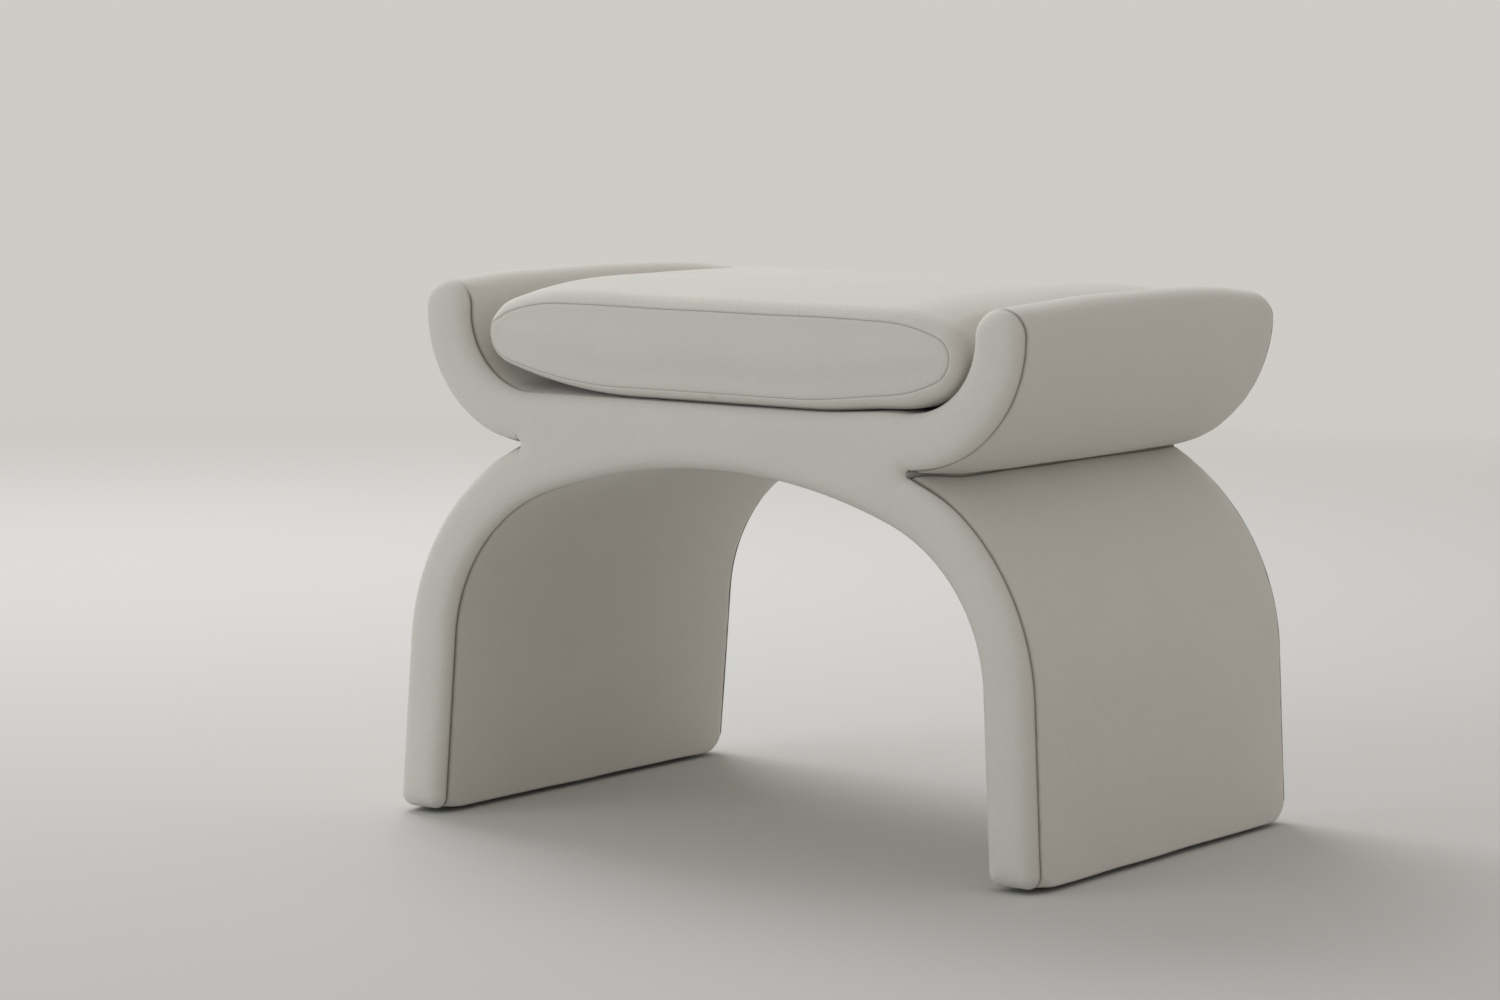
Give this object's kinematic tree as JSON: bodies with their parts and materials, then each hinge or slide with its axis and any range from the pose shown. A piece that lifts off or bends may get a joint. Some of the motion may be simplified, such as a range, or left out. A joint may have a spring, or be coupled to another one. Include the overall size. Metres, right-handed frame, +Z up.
{
  "type": "upholstered stool",
  "caption": "Low fabric stool with splayed arched legs, a pinched waist, upturned ends that cradle the seat, and a loose oval cushion lying between them.",
  "frame": {"origin": "on the floor, under the middle of the stool", "axes": "+X across the upturned arms, -Y towards the front, +Z up"},
  "size_m": [0.629, 0.436, 0.4603],
  "materials": {
    "cover_fabric": "matte fine weave, warm off-white",
    "foam": "open-cell upholstery foam",
    "plywood": "raw birch plywood",
    "fastener_steel": "zinc plated",
    "glide_plastic": "moulded, dark",
    "dust_cloth": "black non-woven cloth",
    "zip_tape": "woven tape with a coil chain",
    "zip_metal": "lacquered off-white"
  },
  "bodies": {
    "base": {"arch_cover": "cover_fabric", "arch_foam": "foam", "arch_skin": "plywood", "centre_deck_rail": "plywood", "cradle_cover": "cover_fabric", "cradle_foam": "foam", "cradle_skin": "plywood", "floor_glides": "glide_plastic", "front_cover": "cover_fabric", "front_foam": "foam", "front_rib": "plywood", "glide_nails": "fastener_steel", "left_arm_cover": "cover_fabric", "left_arm_foam": "foam", "left_arm_rail": "plywood", "left_arm_skin": "plywood", "left_deck_rail": "plywood", "left_dust_cover": "dust_cloth", "left_foot_rail": "plywood", "left_knee_rail": "plywood", "left_leg_cover": "cover_fabric", "left_leg_foam": "foam", "left_leg_skin": "plywood", "left_waist_rail": "plywood", "rear_cover": "cover_fabric", "rear_foam": "foam", "rear_rib": "plywood", "rib_screws": "fastener_steel", "right_arm_cover": "cover_fabric", "right_arm_foam": "foam", "right_arm_rail": "plywood", "right_arm_skin": "plywood", "right_deck_rail": "plywood", "right_dust_cover": "dust_cloth", "right_foot_rail": "plywood", "right_knee_rail": "plywood", "right_leg_cover": "cover_fabric", "right_leg_foam": "foam", "right_leg_skin": "plywood", "right_waist_rail": "plywood"},
    "cushion": {"cushion_core": "foam", "cushion_band": "cover_fabric", "cushion_front_cap": "cover_fabric", "cushion_rear_cap": "cover_fabric", "zip_tape": "zip_tape"},
    "slider": {"zip_slider": "zip_metal"}
  },
  "joints": [
    {"name": "cushion_lift", "type": "slide", "parent": "base", "child": "cushion", "axis": [0, 0, 1], "range_m": [0, 0.15]},
    {"name": "zip_run", "type": "slide", "parent": "cushion", "child": "slider", "axis": [-1, 0, 0], "range_m": [0, 0.276]}
  ]
}
